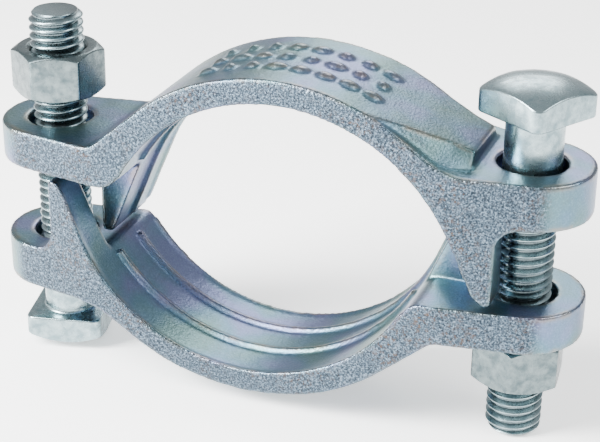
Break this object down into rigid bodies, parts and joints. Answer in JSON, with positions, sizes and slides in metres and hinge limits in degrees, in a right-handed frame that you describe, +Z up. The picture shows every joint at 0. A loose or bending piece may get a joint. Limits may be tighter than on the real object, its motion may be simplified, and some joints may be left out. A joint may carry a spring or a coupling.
{
  "type": "hose clamp",
  "caption": "Double-bolt hose clamp: ribbed half-round castings with bolt lugs and overlapping tongues, drawn together by square-head bolts and hexagon nuts.",
  "frame": {"origin": "centre of the closed clamp, midway between the bolt axes and on the parting plane", "axes": "+Y along the hose towards the back, +X from the left bolt to the right bolt, +Z up along the bolts"},
  "size_m": [0.1412, 0.0333, 0.0846],
  "materials": {
    "casting": "zinc plated rough casting",
    "bolt": "zinc plated, semi-gloss",
    "nut": "zinc plated, semi-gloss"
  },
  "bodies": {
    "lower_half": {"lower_half": "casting"},
    "upper_half": {"upper_half": "casting"},
    "bolt_right": {"bolt_right": "bolt"},
    "bolt_left": {"bolt_left": "bolt"},
    "nut_right": {"nut_right": "nut"},
    "nut_left": {"nut_left": "nut"}
  },
  "joints": [
    {"name": "halves_part", "type": "slide", "parent": "lower_half", "child": "upper_half", "axis": [0, 0, 1], "range_m": [0, 0.003]},
    {"name": "right_nut_turn", "type": "hinge", "parent": "lower_half", "child": "nut_right", "pos_m": [0.05675, 0, 0], "axis": [0, 0, 1], "range_deg": [-2579.5, 589.6]},
    {"name": "right_bolt_draw", "type": "slide", "parent": "lower_half", "child": "bolt_right", "axis": [0, 0, 1], "range_m": [-0.0032, 0.014]},
    {"name": "left_nut_turn", "type": "hinge", "parent": "lower_half", "child": "nut_left", "pos_m": [-0.05675, 0, 0], "axis": [0, 0, 1], "range_deg": [-1197.6, 1474]},
    {"name": "left_bolt_draw", "type": "slide", "parent": "lower_half", "child": "bolt_left", "axis": [0, 0, 1], "range_m": [-0.008, 0.0065]}
  ],
  "couplings": [
    {"joint": "right_nut_turn", "follows": "right_bolt_draw", "rad_per_m": -3215.8},
    {"joint": "left_nut_turn", "follows": "left_bolt_draw", "rad_per_m": -3215.8}
  ]
}
